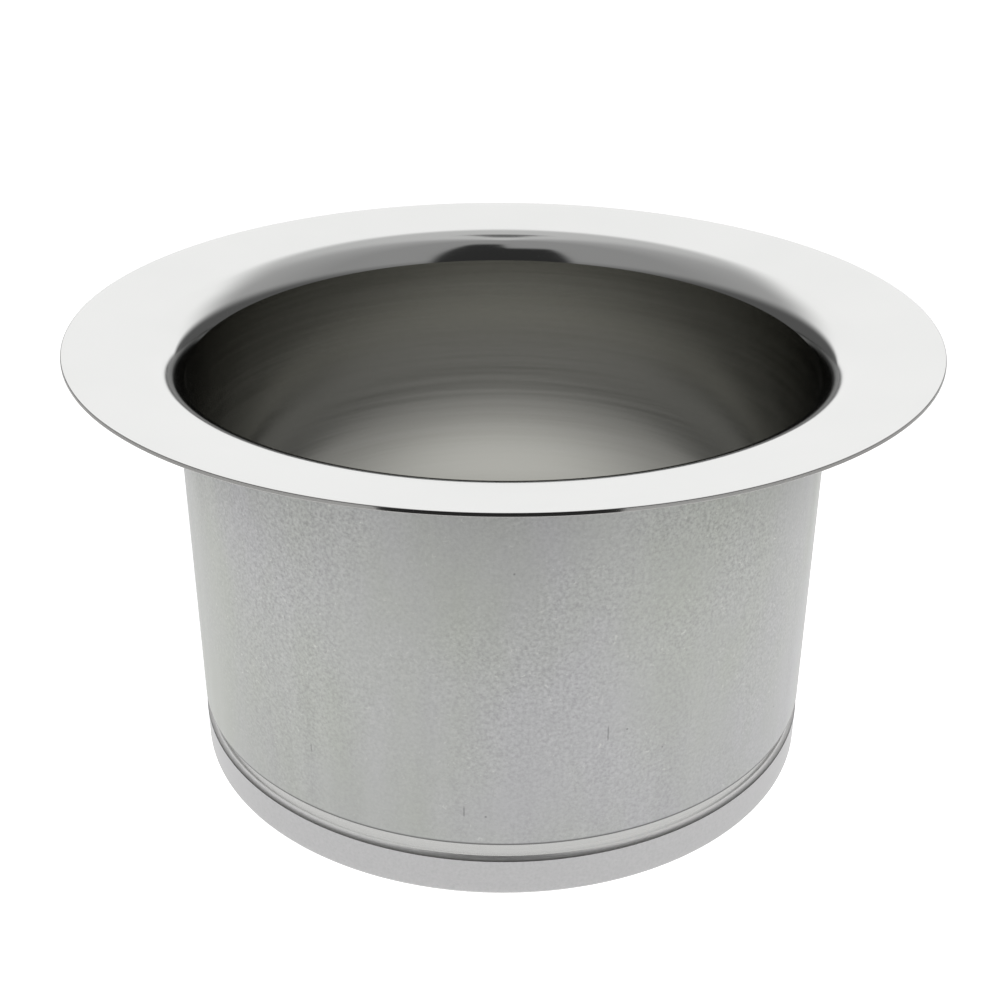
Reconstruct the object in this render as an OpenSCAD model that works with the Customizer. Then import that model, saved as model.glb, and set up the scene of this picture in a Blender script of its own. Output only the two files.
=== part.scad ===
// Deep sink flange for a garbage disposal: a dished rim with a pressed throat, a straight
// sleeve, and a turned collar at the foot with the groove for the disposal's snap ring.
// The origin is on the drain's axis, in the plane that the foot stands on.

/* [Rim] */
// Diameter of the rim
rim_d = 114.3; // [110:0.1:118]
// Height of the rim's outer edge above the foot
height = 61; // [50:0.5:90]
// Angle at which the rim slopes down towards the drain
dish_angle = 9; // [7:0.5:10]
// Thickness of the rim's sheet
rim_t = 0.5; // [0.4:0.1:0.8]
// Radius that rounds both corners of the rim's edge
edge_round = 0.1; // [0.05:0.05:0.15]

/* [Throat] */
// Radius of the polished curve from the rim into the drain
throat_r = 6.4; // [6:0.1:7]
// Depth of the throat's lower end below the rim's outer edge
throat_depth = 5.4; // [5.2:0.1:6]

/* [Sleeve] */
// Outer diameter of the sleeve, which passes through the sink's 88.9 mm drain hole
sleeve_d = 87; // [86:0.1:88]
// Thickness of the sleeve's wall
sleeve_t = 1.2; // [1:0.1:1.4]

/* [Foot collar] */
// Height of the collar's outer face, from the foot's bottom to the sleeve's lower end
collar_h = 8; // [7.5:0.1:12]
// Height of the snap-ring groove under the sleeve's lower end
groove_h = 2.6; // [2.4:0.1:3.6]
// Depth of the snap-ring groove from the sleeve's outside
groove_depth = 0.7; // [0.6:0.1:0.8]
// Radius of the fillet at the bottom of the groove
groove_fillet = 0.6; // [0.3:0.1:0.6]
// Radius that rounds the foot's lower edge
foot_round = 0.8; // [0.3:0.1:1.5]
// Diameter of the collar's bore
collar_bore_d = 82; // [81:0.1:83]
// Height of the spigot that holds the collar in the sleeve
spigot_h = 5; // [3:0.5:8]

/* [Hidden] */
$fn = 360;
// Radius and height that the rim's upper corner would have if it weren't rounded
corner_r = rim_d / 2 - edge_round * (1 - cos(dish_angle)) - (rim_t - edge_round) * sin(dish_angle);
corner_z = height + edge_round * (sin(dish_angle) + cos(dish_angle) - 1);
// Radii of the sleeve's outside, its bore, the groove's floor and the collar's bore
sleeve_r = sleeve_d / 2;
bore_r = sleeve_r - sleeve_t;
groove_r = sleeve_r - groove_depth;
collar_bore_r = collar_bore_d / 2;
// Heights of the throat's lower end, the shoulder under the groove and the spigot's upper end
throat_z = height - throat_depth;
shoulder_z = collar_h - groove_h;
spigot_z = collar_h + spigot_h;
// The throat's lower inner edge seen from that corner: inwards, downwards, then along the dished
// rim and square to it
edge_in = corner_r - bore_r;
edge_down = corner_z - throat_z;
edge_along = edge_in * cos(dish_angle) + edge_down * sin(dish_angle);
edge_below = edge_down * cos(dish_angle) - edge_in * sin(dish_angle);
// Width of the rim's straight band, so that the throat's curve leaves it smoothly and meets that edge
band_w = edge_along - sqrt(edge_below * (2 * throat_r - edge_below));

// What a round leaves of a square corner at the origin: an outer corner is rounded by cutting
// it off, and an inner corner is filleted by adding it
module corner(r) {
    difference() {
        square(r);
        translate([r, r])
            circle(r = r);
    }
}

// Sheet of the rim and throat, with the rim's upper outer corner at the origin and its band level
module rim_profile() {
    difference() {
        translate([-band_w, -rim_t])
            square([band_w, rim_t]);
        rotate(180)
            corner(edge_round);
        translate([0, -rim_t])
            rotate(90)
                corner(edge_round);
    }
    translate([-band_w, -throat_r])
        intersection() {
            difference() {
                circle(r = throat_r);
                circle(r = throat_r - rim_t);
            }
            translate([-throat_r, 0])
                square(throat_r);
        }
}

// Foot bead with its rounded lower edge, the groove's floor with its fillet, and the spigot, which
// carries on from the floor and ends in a slope so that water runs off it
module collar_profile() {
    difference() {
        translate([collar_bore_r, 0])
            square([sleeve_r - collar_bore_r, shoulder_z]);
        translate([sleeve_r, 0])
            mirror([1, 0])
                corner(foot_round);
    }
    translate([groove_r, shoulder_z])
        corner(groove_fillet);
    polygon([
        [collar_bore_r, foot_round],
        [groove_r, foot_round],
        [groove_r, spigot_z],
        [bore_r, spigot_z],
        [collar_bore_r, spigot_z - (bore_r - collar_bore_r)]
    ]);
}

// Pressed rim and throat, cut off level where the sleeve is welded on
module rim_flange() {
    color("gainsboro")
        rotate_extrude()
            intersection() {
                translate([corner_r, corner_z])
                    rotate(dish_angle)
                        rim_profile();
                translate([0, throat_z])
                    square([rim_d, 2 * throat_depth]);
            }
}

// Straight tube from the throat down to the groove, with a counterbore where the spigot sits
module sleeve() {
    color("darkgray")
        rotate_extrude()
            difference() {
                translate([bore_r, collar_h])
                    square([sleeve_t, throat_z - collar_h]);
                translate([bore_r, collar_h])
                    square([groove_r - bore_r, spigot_h]);
            }
}

// Turned end ring, with its spigot in the sleeve's bore
module foot_collar() {
    color("silver")
        rotate_extrude()
            collar_profile();
}

rim_flange();
sleeve();
foot_collar();
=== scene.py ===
"""Looks of a deep sink flange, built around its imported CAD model."""

import math

import bmesh
import bpy
from mathutils import Matrix, Vector


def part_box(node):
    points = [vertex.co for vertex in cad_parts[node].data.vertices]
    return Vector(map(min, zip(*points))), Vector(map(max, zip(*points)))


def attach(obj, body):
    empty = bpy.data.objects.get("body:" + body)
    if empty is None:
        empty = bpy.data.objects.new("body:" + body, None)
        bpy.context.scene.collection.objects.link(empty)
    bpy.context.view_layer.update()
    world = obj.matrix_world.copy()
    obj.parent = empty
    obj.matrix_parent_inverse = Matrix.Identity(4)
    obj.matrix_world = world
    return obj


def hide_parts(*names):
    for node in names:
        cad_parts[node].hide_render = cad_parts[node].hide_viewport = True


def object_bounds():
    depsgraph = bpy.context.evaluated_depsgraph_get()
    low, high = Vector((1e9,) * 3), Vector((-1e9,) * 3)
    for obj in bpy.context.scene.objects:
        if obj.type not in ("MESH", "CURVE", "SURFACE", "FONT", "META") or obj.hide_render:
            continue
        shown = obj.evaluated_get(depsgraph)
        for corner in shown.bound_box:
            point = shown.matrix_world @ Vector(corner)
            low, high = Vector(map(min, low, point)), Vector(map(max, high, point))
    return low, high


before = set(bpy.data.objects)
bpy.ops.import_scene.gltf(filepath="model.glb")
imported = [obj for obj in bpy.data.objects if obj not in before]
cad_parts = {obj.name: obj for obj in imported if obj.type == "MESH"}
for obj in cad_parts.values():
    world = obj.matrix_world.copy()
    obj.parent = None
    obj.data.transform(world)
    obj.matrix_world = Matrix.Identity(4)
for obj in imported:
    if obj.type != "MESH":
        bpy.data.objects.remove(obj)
CAD_LOW, CAD_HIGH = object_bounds()

MM = 0.001
SEGMENTS = 384
ARC_STEPS = 16

# Sizes of the CAD model that its boxes don't give, in millimetres
DISH_ANGLE = math.radians(9)
RIM_SHEET = 0.5
RIM_ROUND = 0.1
THROAT_RADIUS = 6.4
SLEEVE_WALL = 1.2
GROOVE_HEIGHT = 2.6
GROOVE_DEPTH = 0.7
GROOVE_FILLET = 0.6
FOOT_ROUND = 0.8
COLLAR_BORE = 41.0

# Heights and radii that the boxes give, in millimetres
RIM_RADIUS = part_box("rim_flange")[1].x / MM
THROAT_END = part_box("rim_flange")[0].z / MM
SLEEVE_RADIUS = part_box("sleeve")[1].x / MM
SLEEVE_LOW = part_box("sleeve")[0].z / MM
SPIGOT_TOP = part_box("foot_collar")[1].z / MM

# The rim's sharp upper corner before it is rounded, and the other places that follow
DISH_SINE = math.sin(DISH_ANGLE)
DISH_COSINE = math.cos(DISH_ANGLE)
CORNER_RADIUS = RIM_RADIUS - RIM_ROUND * (1 - DISH_COSINE) - (RIM_SHEET - RIM_ROUND) * DISH_SINE
CORNER_HEIGHT = CAD_HIGH.z / MM + RIM_ROUND * (DISH_COSINE + DISH_SINE - 1)
BORE = SLEEVE_RADIUS - SLEEVE_WALL
GROOVE_RADIUS = SLEEVE_RADIUS - GROOVE_DEPTH
SHOULDER = SLEEVE_LOW - GROOVE_HEIGHT

# Detail finer than the CAD's, in millimetres
EDGE_BREAK = 0.12
RING_SPACING = 1.0


# ---------------------------------------------------------------- outlines


def arc(centre, radius, start, end, steps=ARC_STEPS):
    """Points of (radius, height) on an arc, with its angles in degrees."""
    points = []
    for i in range(steps + 1):
        angle = math.radians(start + (end - start) * i / steps)
        points.append((centre[0] + radius * math.cos(angle), centre[1] + radius * math.sin(angle)))
    return points


def ringed(outline):
    """The closed outline with extra points on its long straight sides."""
    points = []
    for (r0, z0), (r1, z1) in zip(outline, outline[1:] + outline[:1]):
        steps = max(1, round(math.hypot(r1 - r0, z1 - z0) / RING_SPACING))
        for i in range(steps):
            share = i / steps
            points.append((r0 + (r1 - r0) * share, z0 + (z1 - z0) * share))
    return points


def dished(along, below):
    """The (radius, height) of a point given along the dished rim from its corner, and square to it."""
    radius = CORNER_RADIUS - along * DISH_COSINE + below * DISH_SINE
    height = CORNER_HEIGHT - along * DISH_SINE - below * DISH_COSINE
    return radius, height


def throat_centre():
    """Centre of the throat's curve, so that it leaves the rim smoothly and ends at the bore."""
    across = CORNER_RADIUS - BORE
    down = CORNER_HEIGHT - THROAT_END
    edge_along = across * DISH_COSINE + down * DISH_SINE
    edge_below = down * DISH_COSINE - across * DISH_SINE
    band = edge_along - math.sqrt(edge_below * (2 * THROAT_RADIUS - edge_below))
    return dished(band, THROAT_RADIUS)


def rim_outline():
    """The pressed sheet: rounded edge, dished band and throat, then back along the underside."""
    tilt = math.degrees(DISH_ANGLE)
    centre = throat_centre()
    low = THROAT_END - centre[1]
    inner = THROAT_RADIUS - RIM_SHEET
    inner_end = 180 - math.degrees(math.asin(low / inner))
    outer_end = 180 - math.degrees(math.asin(low / THROAT_RADIUS))
    outline = arc(dished(RIM_ROUND, RIM_SHEET - RIM_ROUND), RIM_ROUND, tilt - 90, tilt, 4)
    outline += arc(dished(RIM_ROUND, RIM_ROUND), RIM_ROUND, tilt, 90 + tilt, 4)
    outline += arc(centre, THROAT_RADIUS, 90 + tilt, outer_end, 24)
    outline += arc(centre, inner, inner_end, 90 + tilt)
    return outline


def sleeve_outline():
    """The tube, with its lower outer edge broken and the counterbore for the spigot."""
    outline = arc((SLEEVE_RADIUS - EDGE_BREAK, SLEEVE_LOW + EDGE_BREAK), EDGE_BREAK, -90, 0, 3)
    outline += [
        (SLEEVE_RADIUS, THROAT_END),
        (BORE, THROAT_END),
        (BORE, SPIGOT_TOP),
        (GROOVE_RADIUS, SPIGOT_TOP),
        (GROOVE_RADIUS, SLEEVE_LOW),
    ]
    return outline


def collar_outline():
    """The turned ring: foot bead, shoulder, filleted groove floor, and the spigot with its slope."""
    outline = [(COLLAR_BORE, 0.0)]
    outline += arc((SLEEVE_RADIUS - FOOT_ROUND, FOOT_ROUND), FOOT_ROUND, -90, 0, 8)
    outline.append((SLEEVE_RADIUS, SHOULDER))
    fillet = (GROOVE_RADIUS + GROOVE_FILLET, SHOULDER + GROOVE_FILLET)
    outline += arc(fillet, GROOVE_FILLET, 270, 180, 8)
    outline += [
        (GROOVE_RADIUS, SPIGOT_TOP),
        (BORE, SPIGOT_TOP),
        (COLLAR_BORE, SPIGOT_TOP - (BORE - COLLAR_BORE)),
    ]
    return outline


# ---------------------------------------------------------------- pieces


def lathe(name, outline):
    """A closed mesh made by turning an outline of (radius, height) points about the Z axis."""
    points = ringed(outline)
    mesh = bmesh.new()
    rings = []
    for i in range(SEGMENTS):
        angle = 2 * math.pi * i / SEGMENTS
        out = Vector((math.cos(angle), math.sin(angle), 0))
        rings.append([mesh.verts.new((out * r + Vector((0, 0, z))) * MM) for r, z in points])
    for ring, following in zip(rings, rings[1:] + rings[:1]):
        for j in range(len(points)):
            k = (j + 1) % len(points)
            mesh.faces.new((ring[j], following[j], following[k], ring[k]))
    bmesh.ops.recalc_face_normals(mesh, faces=mesh.faces)
    data = bpy.data.meshes.new(name)
    mesh.to_mesh(data)
    mesh.free()
    data.shade_smooth()
    data.set_sharp_from_angle(angle=math.radians(30))
    piece = bpy.data.objects.new(name, data)
    bpy.context.scene.collection.objects.link(piece)
    return piece


def stand_for(piece, node, material):
    """The piece takes the CAD node's place, with its material."""
    piece.data.materials.append(material)
    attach(piece, "root")
    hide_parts(node)


# ---------------------------------------------------------------- materials

# Rim and throat
POLISHED_DARK = (0.74, 0.745, 0.735, 1)
POLISHED_LIGHT = (0.78, 0.78, 0.77, 1)
# Painted reflection: dark colour for the rim's outer edge
RIM_EDGE_PAINTED_SHADE = (0.40, 0.395, 0.385, 1)

# Sleeve: outside, then inside
GREEN_GREY = (0.375, 0.385, 0.36, 1)
LILAC_GREY = (0.39, 0.39, 0.395, 1)
PALE_SPECK = (0.66, 0.67, 0.63, 1)
# Dark colour of the pits and scratches, also used as painted shadow at the sleeve's lower edge
MARK_AND_GAP_SHADOW = (0.12, 0.12, 0.12, 1)
INNER_DARK = (0.395, 0.392, 0.362, 1)
INNER_LIGHT = (0.455, 0.452, 0.422, 1)

# Collar
GROOVE_DARK = (0.42, 0.42, 0.41, 1)
GROOVE_LIGHT = (0.54, 0.54, 0.53, 1)
BEAD_DARK = (0.36, 0.36, 0.36, 1)
BEAD_LIGHT = (0.54, 0.535, 0.54, 1)
# Painted light: lighter colour for the fillet, which softens the dark reflection it shows
FILLET_PAINTED_LIGHT = (0.73, 0.725, 0.72, 1)

# Size of the sandy grain outside the sleeve and on the foot bead: grains per millimetre
GRAIN = 2.4

# Short upright scratches outside the sleeve: azimuth from the camera's side, in degrees, then
# height and half length in millimetres
SCRATCHES = [(-76, 31, 2.4), (-33, 17.5, 0.6), (-6, 13.0, 0.7), (17, 23.5, 1.0)]


class Nodes:
    """A node tree of a material or of the world, with short calls for the nodes that they share."""

    def __init__(self, owner):
        owner.use_nodes = True
        self.nodes = owner.node_tree.nodes
        self.links = owner.node_tree.links
        self.coordinates = self.nodes.new("ShaderNodeTexCoord").outputs

    def join(self, source, target):
        """Links an output to an input, or sets the input to a plain value."""
        if isinstance(source, bpy.types.NodeSocket):
            self.links.new(source, target)
        else:
            target.default_value = source

    def math(self, operation, first, second=0.0):
        node = self.nodes.new("ShaderNodeMath")
        node.operation = operation
        self.join(first, node.inputs[0])
        self.join(second, node.inputs[1])
        return node.outputs[0]

    def stretched(self, x, y, z):
        """The position in millimetres, scaled along each axis."""
        node = self.nodes.new("ShaderNodeVectorMath")
        node.operation = "MULTIPLY"
        self.join(self.coordinates["Object"], node.inputs[0])
        node.inputs[1].default_value = (x / MM, y / MM, z / MM)
        return node.outputs[0]

    def split(self, vector):
        node = self.nodes.new("ShaderNodeSeparateXYZ")
        self.join(vector, node.inputs[0])
        return node.outputs

    def radius(self):
        """Distance from the drain's axis in millimetres."""
        x, y, z = self.split(self.coordinates["Object"])
        square = self.math("ADD", self.math("MULTIPLY", x, x), self.math("MULTIPLY", y, y))
        return self.math("DIVIDE", self.math("SQRT", square), MM)

    def turned(self, around, across):
        """Coordinates that run slowly around the axis and quickly away from it and along it."""
        x, y, z = self.split(self.coordinates["Object"])
        depth = self.math("ADD", self.radius(), self.math("DIVIDE", z, MM))
        join = self.nodes.new("ShaderNodeCombineXYZ")
        self.join(self.math("MULTIPLY", x, around / MM), join.inputs[0])
        self.join(self.math("MULTIPLY", y, around / MM), join.inputs[1])
        self.join(self.math("MULTIPLY", depth, across), join.inputs[2])
        return join.outputs[0]

    def noise(self, vector, detail=2.0, roughness=0.5, distortion=0.0):
        node = self.nodes.new("ShaderNodeTexNoise")
        self.join(vector, node.inputs["Vector"])
        node.inputs["Scale"].default_value = 1.0
        node.inputs["Detail"].default_value = detail
        node.inputs["Roughness"].default_value = roughness
        node.inputs["Distortion"].default_value = distortion
        return node.outputs["Fac"]

    def cells(self, vector):
        """Distance to the nearest of many scattered points."""
        node = self.nodes.new("ShaderNodeTexVoronoi")
        self.join(vector, node.inputs["Vector"])
        node.inputs["Scale"].default_value = 1.0
        return node.outputs["Distance"]

    def spread(self, value, low, high, to_low, to_high, kind="LINEAR"):
        """Maps low..high to to_low..to_high, clamped."""
        node = self.nodes.new("ShaderNodeMapRange")
        node.interpolation_type = kind
        self.join(value, node.inputs["Value"])
        node.inputs["From Min"].default_value = low
        node.inputs["From Max"].default_value = high
        node.inputs["To Min"].default_value = to_low
        node.inputs["To Max"].default_value = to_high
        return node.outputs[0]

    def window(self, value, low, high, soft):
        """1 from low to high and 0 outside, with soft edges."""
        rise = self.spread(value, low - soft, low + soft, 0, 1, "SMOOTHSTEP")
        fall = self.spread(value, high - soft, high + soft, 1, 0, "SMOOTHSTEP")
        return self.math("MULTIPLY", rise, fall)

    def blend(self, share, first, second):
        """Blends two numbers."""
        node = self.nodes.new("ShaderNodeMix")
        self.join(share, node.inputs["Factor"])
        self.join(first, node.inputs["A"])
        self.join(second, node.inputs["B"])
        return node.outputs["Result"]

    def colour_node(self, kind, share, first, second):
        node = self.nodes.new("ShaderNodeMix")
        node.data_type = "RGBA"
        node.blend_type = kind
        self.join(share, node.inputs[0])
        self.join(first, node.inputs[6])
        self.join(second, node.inputs[7])
        return node.outputs[2]

    def mix(self, share, first, second):
        """Blends two colours."""
        return self.colour_node("MIX", share, first, second)

    def shade(self, colour, amount):
        """Multiplies a colour by a number."""
        return self.colour_node("MULTIPLY", 1.0, colour, amount)

    def bump(self, height, distance):
        """Relief of up to the distance in millimetres."""
        node = self.nodes.new("ShaderNodeBump")
        node.inputs["Strength"].default_value = 1.0
        node.inputs["Distance"].default_value = distance * MM
        self.join(height, node.inputs["Height"])
        return node.outputs[0]


def metal(tree, colour, roughness, normal):
    """Joins what the tree made to the material's surface."""
    surface = tree.nodes["Principled BSDF"]
    surface.inputs["Metallic"].default_value = 1.0
    tree.join(colour, surface.inputs["Base Color"])
    tree.join(roughness, surface.inputs["Roughness"])
    tree.join(normal, surface.inputs["Normal"])


def polished_steel():
    """Bright rim and throat with faint rings left by the polishing wheel, and a painted dark line
    on the rim's outer edge that stands for the dark reflection seen there."""
    material = bpy.data.materials.new("polished_steel")
    tree = Nodes(material)
    rings = tree.noise(tree.turned(0.02, 5.0), detail=3)
    haze = tree.noise(tree.stretched(0.08, 0.08, 0.08))
    colour = tree.mix(haze, POLISHED_DARK, POLISHED_LIGHT)
    # Painted reflection: the rim's outer edge is coloured dark for the dark reflection it shows.
    rim_edge_shade_mask = tree.spread(tree.radius(), RIM_RADIUS - 0.14, RIM_RADIUS - 0.08, 0, 1)
    colour = tree.mix(rim_edge_shade_mask, colour, RIM_EDGE_PAINTED_SHADE)
    roughness = tree.spread(rings, 0.3, 0.7, 0.08, 0.12)
    metal(tree, colour, roughness, tree.bump(rings, 0.0006))
    return material


def mill_steel():
    """Dull tube: sandy and blotched outside, with a painted shadow line at its lower edge for the
    gap above the collar's groove, and smoother inside with streaks around it."""
    material = bpy.data.materials.new("mill_steel")
    tree = Nodes(material)
    x, y, z = tree.split(tree.coordinates["Object"])
    height = tree.math("DIVIDE", z, MM)
    azimuth = tree.math("DEGREES", tree.math("ARCTAN2", x, tree.math("MULTIPLY", y, -1)))
    outside = tree.spread(tree.radius(), BORE + 0.2, BORE + 0.5, 0.0, 1.0)

    sand = tree.noise(tree.stretched(GRAIN, GRAIN, GRAIN), detail=2, roughness=0.65)
    blotches = tree.noise(tree.stretched(0.07, 0.07, 0.03), detail=3)
    bands = tree.noise(tree.stretched(0.35, 0.35, 0.015), detail=2)
    coarse = tree.noise(tree.stretched(0.05, 0.05, 0.05), detail=2)
    streaks = tree.noise(tree.turned(0.015, 0.9), detail=4, roughness=0.6)

    tint = tree.mix(tree.spread(blotches, 0.35, 0.65, 0, 1), GREEN_GREY, LILAC_GREY)
    tint = tree.shade(tint, tree.spread(bands, 0.3, 0.7, 0.95, 1.05))
    grain = tree.spread(coarse, 0.4, 0.6, 0.5, 1.0)
    grain = tree.math("MULTIPLY", grain, tree.spread(height, 12, 40, 0.6, 1.0))
    tint = tree.shade(tint, tree.blend(grain, 1.0, tree.spread(sand, 0.3, 0.7, 0.78, 1.22)))
    specks = tree.noise(tree.stretched(0.9, 0.9, 0.9), detail=3, roughness=0.6, distortion=2.5)
    specks = tree.math("MULTIPLY", tree.spread(specks, 0.64, 0.72, 0, 0.6), grain)
    tint = tree.mix(specks, tint, PALE_SPECK)

    pits = tree.cells(tree.stretched(0.16, 0.16, 0.16))
    marks = tree.spread(pits, 0.015, 0.03, 0.6, 0)
    for place, level, half in SCRATCHES:
        line = tree.window(azimuth, place - 0.12, place + 0.12, 0.08)
        line = tree.math("MULTIPLY", line, tree.window(height, level - half, level + half, 0.3))
        marks = tree.math("MAXIMUM", marks, tree.math("MULTIPLY", line, 0.5))
    # Painted shadow: a dark band at the sleeve's lower edge, where the gap above the groove lies in
    # shade.
    painted_gap_shadow = tree.spread(height, SLEEVE_LOW + 0.20, SLEEVE_LOW + 0.40, 0.9, 0)
    tint = tree.mix(tree.math("MAXIMUM", marks, painted_gap_shadow), tint, MARK_AND_GAP_SHADOW)

    inner = tree.mix(tree.spread(streaks, 0.25, 0.75, 0, 1), INNER_DARK, INNER_LIGHT)
    colour = tree.mix(outside, inner, tint)
    outer_roughness = tree.spread(tree.math("ADD", bands, sand), 0.7, 1.3, 0.30, 0.44)
    inner_roughness = tree.spread(streaks, 0.3, 0.7, 0.15, 0.21)
    roughness = tree.blend(outside, inner_roughness, outer_roughness)
    relief = tree.blend(outside, tree.math("MULTIPLY", streaks, 0.2), tree.math("SUBTRACT", sand, marks))
    metal(tree, colour, roughness, tree.bump(relief, 0.012))
    return material


def turned_steel():
    """Collar: sandy on the foot bead, dull in the fillet with its colour painted lighter to lift
    the dark reflection there, and with the fine lines of the lathe in the groove."""
    material = bpy.data.materials.new("turned_steel")
    tree = Nodes(material)
    radius = tree.radius()
    bead = tree.spread(radius, GROOVE_RADIUS + 0.45, GROOVE_RADIUS + 0.65, 0.0, 1.0)
    fillet = tree.window(radius, GROOVE_RADIUS + 0.06, GROOVE_RADIUS + 0.6, 0.05)
    lines = tree.noise(tree.turned(0.01, 6.0), detail=3)
    sand = tree.noise(tree.stretched(GRAIN, GRAIN, GRAIN), detail=2, roughness=0.65)
    groove_tint = tree.mix(lines, GROOVE_DARK, GROOVE_LIGHT)
    bead_tint = tree.mix(sand, BEAD_DARK, BEAD_LIGHT)
    colour = tree.mix(bead, groove_tint, bead_tint)
    # Painted light: the fillet is coloured lighter than the rest of the collar to soften the dark
    # reflection it shows. Its higher roughness is the dull finish.
    colour = tree.mix(fillet, colour, FILLET_PAINTED_LIGHT)
    groove_roughness = tree.spread(lines, 0.3, 0.7, 0.22, 0.30)
    bead_roughness = tree.spread(sand, 0.3, 0.7, 0.34, 0.46)
    roughness = tree.blend(bead, groove_roughness, bead_roughness)
    roughness = tree.blend(fillet, roughness, 0.48)
    relief = tree.blend(bead, tree.math("MULTIPLY", lines, 0.2), sand)
    metal(tree, colour, roughness, tree.bump(relief, 0.010))
    return material


# ---------------------------------------------------------------- studio

LENS = 52.91
CAMERA_PLACE = (-0.00028, -0.18620, 0.12736)
CAMERA_PITCH = math.radians(26.709)
CAMERA_ROLL = math.radians(0.268)

# Light table: half its width in metres and the strength of its glow, then its shade outside the
# drain, the painted shade inside the drain from the middle to the side, the painted dark ring near the
# drain's wall, and its shade past its edge
TABLE_HALF = 2.0
TABLE_GLOW = 1.6
TABLE_SHADE = 0.6
DRAIN_MIDDLE_PAINTED_SHADE = 0.60
DRAIN_SIDE_PAINTED_SHADE = 0.28
DRAIN_RING_PAINTED_SHADE = -0.16
PAST_TABLE = 0.02

# Brightness of the world's parts, and the share of the part behind the object that is lost where
# steel mirrors it by way of other steel
PANEL_LOW = 0.66
PANEL_HIGH = 0.18
ROOM_BEHIND = 0.41
ROOM_IN_FRONT = 0.31
LOW_PARTS = 0.10
PHOTOGRAPHER = 0.03
TWICE_MIRRORED_LOSS = 0.75
SEEN_BY_CAMERA = 1.0

# Low white walls around the object: azimuths of both ends from the camera's side, in degrees, and
# height in millimetres. They leave an opening where the photographer stands.
WALL_RADIUS = 130
WALL_STEPS = 30
WALL_SHADE = (0.6, 0.6, 0.6, 1)
WALL_GLOW = 0.5
WALLS = [(21, 100, 80), (100, 260, 55), (260, 338, 80)]


def make_camera():
    data = bpy.data.cameras.new("camera")
    data.lens = LENS
    data.clip_start = 0.01
    camera = bpy.data.objects.new("camera", data)
    tilt = Matrix.Rotation(math.radians(90) - CAMERA_PITCH, 4, "X")
    roll = Matrix.Rotation(CAMERA_ROLL, 4, "Z")
    camera.matrix_world = Matrix.Translation(CAMERA_PLACE) @ tilt @ roll
    bpy.context.scene.collection.objects.link(camera)
    bpy.context.scene.camera = camera


def make_floor():
    """A white light table, with painted shade inside the drain that darkens towards its wall and a
    painted dark ring a little way in from the wall. In the mirror of the steel it ends, and past its
    edge that shows the dark room."""
    data = bpy.data.meshes.new("floor")
    turns = [(-1, -1), (1, -1), (1, 1), (-1, 1)]
    corners = [(x * TABLE_HALF, y * TABLE_HALF, 0) for x, y in turns]
    data.from_pydata(corners, [], [(0, 1, 2, 3)])
    floor = bpy.data.objects.new("floor", data)
    bpy.context.scene.collection.objects.link(floor)
    material = bpy.data.materials.new("floor")
    tree = Nodes(material)
    radius = tree.radius()
    # Painted shade inside the drain: darker from its middle towards its wall, with a darker painted ring
    # a little way in from the wall.
    drain = tree.spread(radius, 4, 30, DRAIN_MIDDLE_PAINTED_SHADE, DRAIN_SIDE_PAINTED_SHADE, "SMOOTHSTEP")
    painted_ring_shade = tree.spread(radius, 33, 37, 0, DRAIN_RING_PAINTED_SHADE, "SMOOTHSTEP")
    in_drain = tree.math("LESS_THAN", radius, COLLAR_BORE + 1)
    table = tree.blend(in_drain, TABLE_SHADE, tree.math("ADD", drain, painted_ring_shade))
    past = tree.spread(radius, 150, 220, 0, 1, "SMOOTHSTEP")
    path = tree.nodes.new("ShaderNodeLightPath").outputs
    mirrored = tree.math("MULTIPLY", past, path["Is Glossy Ray"])
    shade = tree.blend(mirrored, table, PAST_TABLE)
    surface = tree.nodes["Principled BSDF"]
    surface.inputs["Roughness"].default_value = 0.9
    surface.inputs["Specular IOR Level"].default_value = 0.1
    surface.inputs["Emission Strength"].default_value = TABLE_GLOW
    tree.join(shade, surface.inputs["Base Color"])
    tree.join(shade, surface.inputs["Emission Color"])
    data.materials.append(material)


def make_walls():
    """The low walls, which the steel sees and the camera doesn't."""
    material = bpy.data.materials.new("low_wall")
    material.use_nodes = True
    surface = material.node_tree.nodes["Principled BSDF"]
    surface.inputs["Base Color"].default_value = WALL_SHADE
    surface.inputs["Emission Color"].default_value = WALL_SHADE
    surface.inputs["Emission Strength"].default_value = WALL_GLOW
    for start, end, height in WALLS:
        corners = []
        for i in range(WALL_STEPS + 1):
            angle = math.radians(start + (end - start) * i / WALL_STEPS)
            place = (WALL_RADIUS * MM * math.sin(angle), -WALL_RADIUS * MM * math.cos(angle))
            corners += [(*place, 0), (*place, height * MM)]
        faces = [(2 * i, 2 * i + 2, 2 * i + 3, 2 * i + 1) for i in range(WALL_STEPS)]
        data = bpy.data.meshes.new(f"low_wall_{start}")
        data.from_pydata(corners, [], faces)
        data.materials.append(material)
        wall = bpy.data.objects.new(f"low_wall_{start}", data)
        wall.visible_camera = False
        bpy.context.scene.collection.objects.link(wall)


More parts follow.
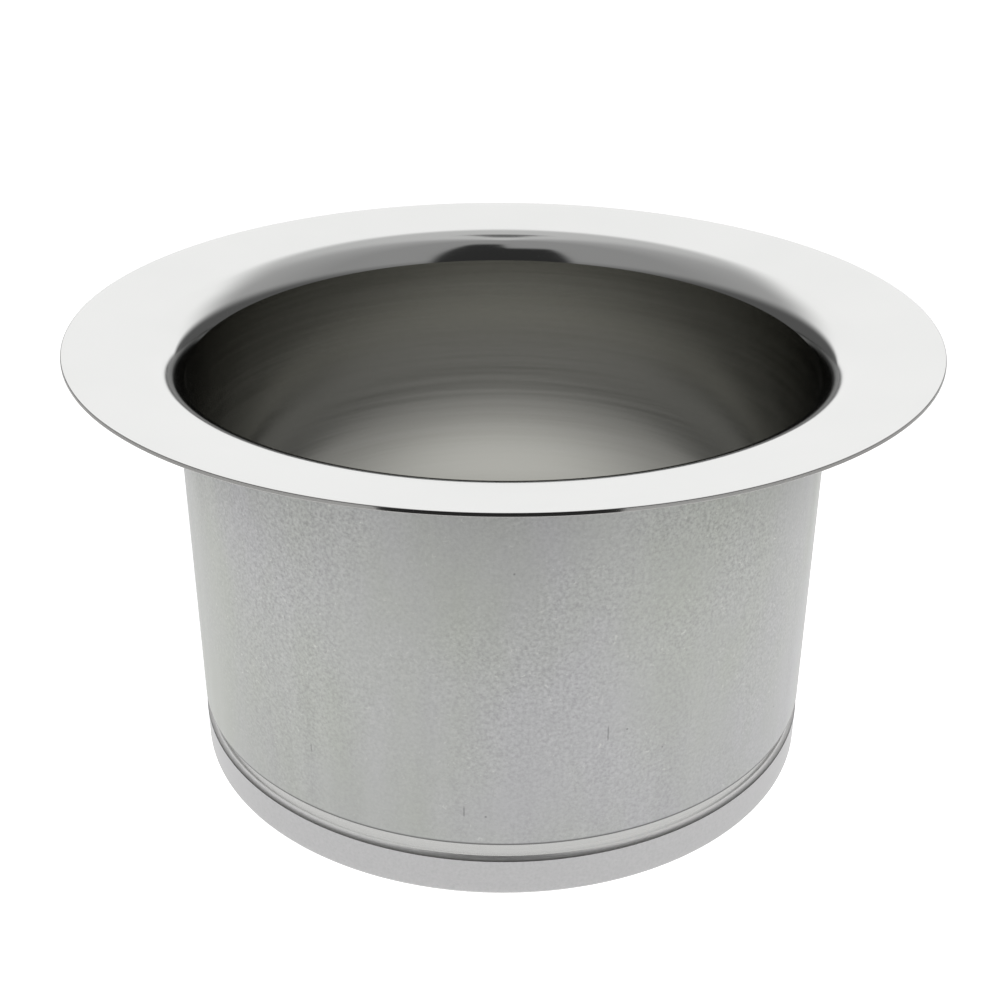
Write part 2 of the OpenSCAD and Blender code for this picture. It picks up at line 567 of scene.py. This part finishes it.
def make_world():
    """The studio that the steel mirrors: a soft white panel behind the object, a narrow dark gap
    high above it, a grey room, dark parts near the floor at the sides, and a black one where the
    photographer stands. Azimuths are in degrees from straight behind the object, or from the
    camera's side. The camera itself sees plain white past the floor."""
    world = bpy.data.worlds.new("studio")
    bpy.context.scene.world = world
    tree = Nodes(world)
    x, y, z = tree.split(tree.coordinates["Generated"])
    azimuth = tree.math("DEGREES", tree.math("ARCTAN2", x, y))
    side = tree.math("ABSOLUTE", tree.math("SUBTRACT", azimuth, 3))
    height = tree.math("DEGREES", tree.math("ARCSINE", z))
    towards = tree.math("DEGREES", tree.math("ARCTAN2", x, tree.math("MULTIPLY", y, -1)))

    panel_side = tree.spread(side, 15, 55, 1, 0, "SMOOTHSTEP")
    panel_height = tree.spread(height, 36, 51, PANEL_LOW, PANEL_HIGH, "SMOOTHSTEP")
    panel = tree.math("MULTIPLY", panel_side, panel_height)
    room = tree.math("ADD", panel, tree.spread(side, 50, 100, ROOM_BEHIND, ROOM_IN_FRONT))

    falloff = tree.math("EXPONENT", tree.spread(side, 12, 180, 0, -6.3))
    edge = tree.spread(falloff, 0, 1, 28, 5)
    low = tree.spread(tree.math("DIVIDE", height, edge), 0.72, 1.28, 1, 0, "SMOOTHSTEP")

    top = tree.spread(towards, -2, 2, 64, 77)
    person = tree.spread(tree.math("SUBTRACT", height, top), -4, 4, 1, 0, "SMOOTHSTEP")
    person = tree.math("MULTIPLY", person, tree.window(towards, -28, 30, 3))
    gap = tree.math("MULTIPLY", tree.window(azimuth, -8, 8, 2), tree.window(height, 67, 79, 2))

    black = tree.math("MAXIMUM", person, tree.math("MULTIPLY", gap, 0.8))
    studio = tree.blend(black, tree.blend(low, room, LOW_PARTS), PHOTOGRAPHER)

    path = tree.nodes.new("ShaderNodeLightPath").outputs
    again = tree.math("GREATER_THAN", path["Glossy Depth"], 1.5)
    dimmed = tree.math("MULTIPLY", again, tree.spread(side, 60, 100, TWICE_MIRRORED_LOSS, 0))
    studio = tree.math("MULTIPLY", studio, tree.math("SUBTRACT", 1, dimmed))
    strength = tree.blend(path["Is Camera Ray"], studio, SEEN_BY_CAMERA)
    tree.join(strength, tree.nodes["Background"].inputs["Strength"])
    tree.nodes["Background"].inputs["Color"].default_value = (1, 1, 1, 1)


stand_for(lathe("rim_and_throat", rim_outline()), "rim_flange", polished_steel())
stand_for(lathe("sleeve_tube", sleeve_outline()), "sleeve", mill_steel())
stand_for(lathe("foot_ring", collar_outline()), "foot_collar", turned_steel())

make_camera()
make_floor()
make_walls()
make_world()

scene = bpy.context.scene
scene.view_settings.view_transform = "Standard"
